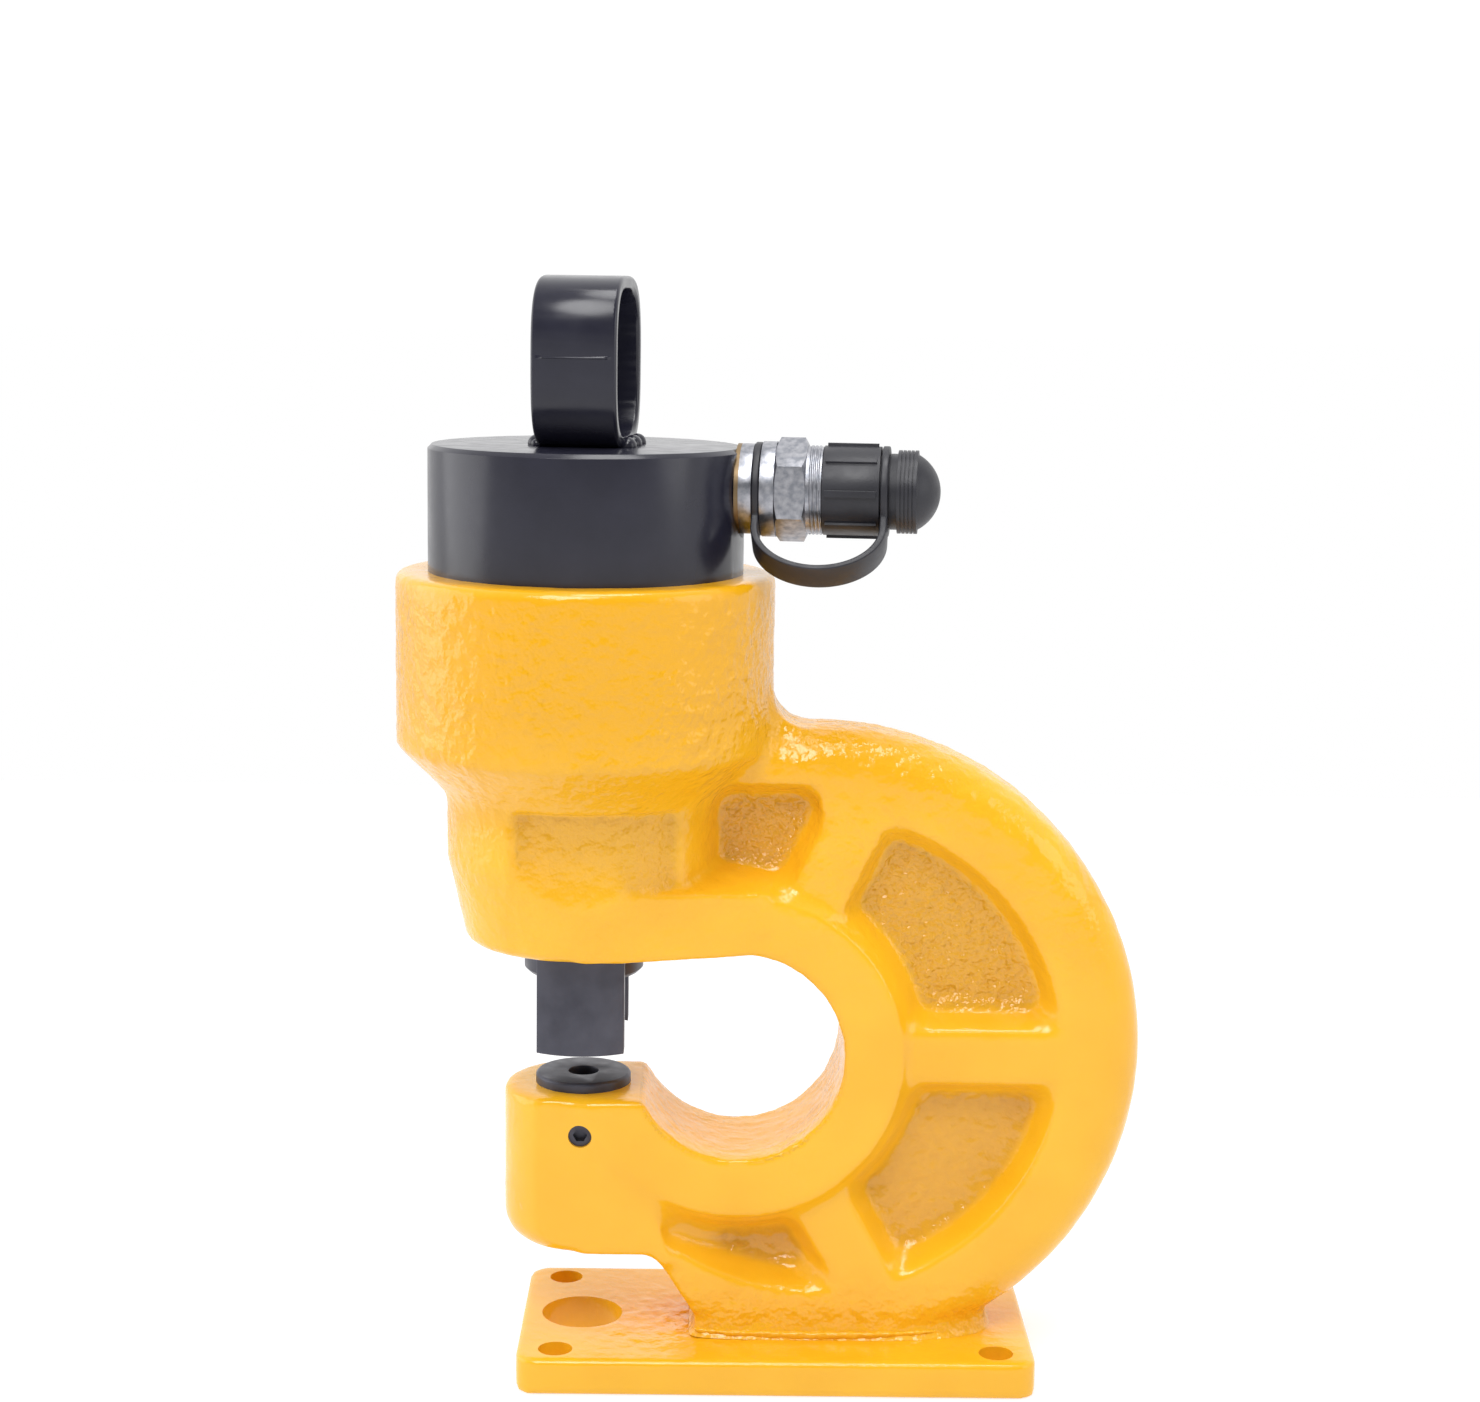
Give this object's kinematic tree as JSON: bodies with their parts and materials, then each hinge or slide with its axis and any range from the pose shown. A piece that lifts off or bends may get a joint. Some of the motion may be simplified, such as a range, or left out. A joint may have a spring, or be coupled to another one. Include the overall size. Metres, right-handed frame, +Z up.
{
  "type": "hydraulic hole punch",
  "caption": "Bench hydraulic hole punch: a cast yellow C-frame on a bolt-down base, with a black cylinder, lifting ring, capped coupler, sprung ram, punch, stripper and die.",
  "frame": {"origin": "centre of the slug hole in the base plate, at the underside of the base, on the punch axis", "axes": "+X along the base into the throat, +Y to the rear, +Z up along the punch axis"},
  "size_m": [0.2722, 0.1364, 0.3976],
  "materials": {
    "yellow_enamel": "gloss orange-peel enamel",
    "black_enamel": "satin-gloss black enamel",
    "blued_steel": "satin blued tool steel",
    "chromed_ram": "hard chrome",
    "zinc": "bright zinc plate",
    "steel": "plain steel",
    "bronze": "bearing bronze",
    "rubber": "matte black rubber",
    "seal": "polyurethane",
    "ptfe": "PTFE"
  },
  "bodies": {
    "frame": {"frame_head": "yellow_enamel", "frame_crown": "yellow_enamel", "frame_back": "yellow_enamel", "frame_arm": "yellow_enamel", "base_plate": "yellow_enamel", "base_weld": "yellow_enamel", "cylinder": "black_enamel", "lift_ring": "black_enamel", "lift_ring_weld": "black_enamel", "return_spring": "steel", "guide_bush": "bronze", "ram_wiper": "rubber", "stripper": "blued_steel", "die": "blued_steel", "die_set_screw": "blued_steel", "port_seal": "bronze", "coupler_body": "zinc", "coupler_spring": "steel", "spring_spider": "steel", "cap_tether": "rubber"},
    "ram": {"ram": "chromed_ram", "piston_seal": "seal", "backup_ring": "ptfe", "wear_band": "bronze", "punch_nut": "blued_steel", "punch": "blued_steel"},
    "poppet": {"coupler_poppet": "steel", "poppet_seal": "rubber"},
    "cap": {"dust_cap": "rubber"}
  },
  "joints": [
    {"name": "ram_press", "type": "slide", "parent": "frame", "child": "ram", "axis": [0, 0, -1], "range_m": [0, 0.022], "stiffness_N_per_m": 5200, "springref_m": -0.012, "deforming": ["return_spring"]},
    {"name": "poppet_slide", "type": "slide", "parent": "frame", "child": "poppet", "axis": [-0.9936, 0.1132, 0], "range_m": [0, 0.003], "stiffness_N_per_m": 2400, "springref_m": -0.002},
    {"name": "cap_turn", "type": "hinge", "parent": "frame", "child": "cap", "pos_m": [0.0944, -0.01076, 0.3236], "axis": [0.9936, -0.1132, 0], "range_deg": [0, 720]}
  ]
}
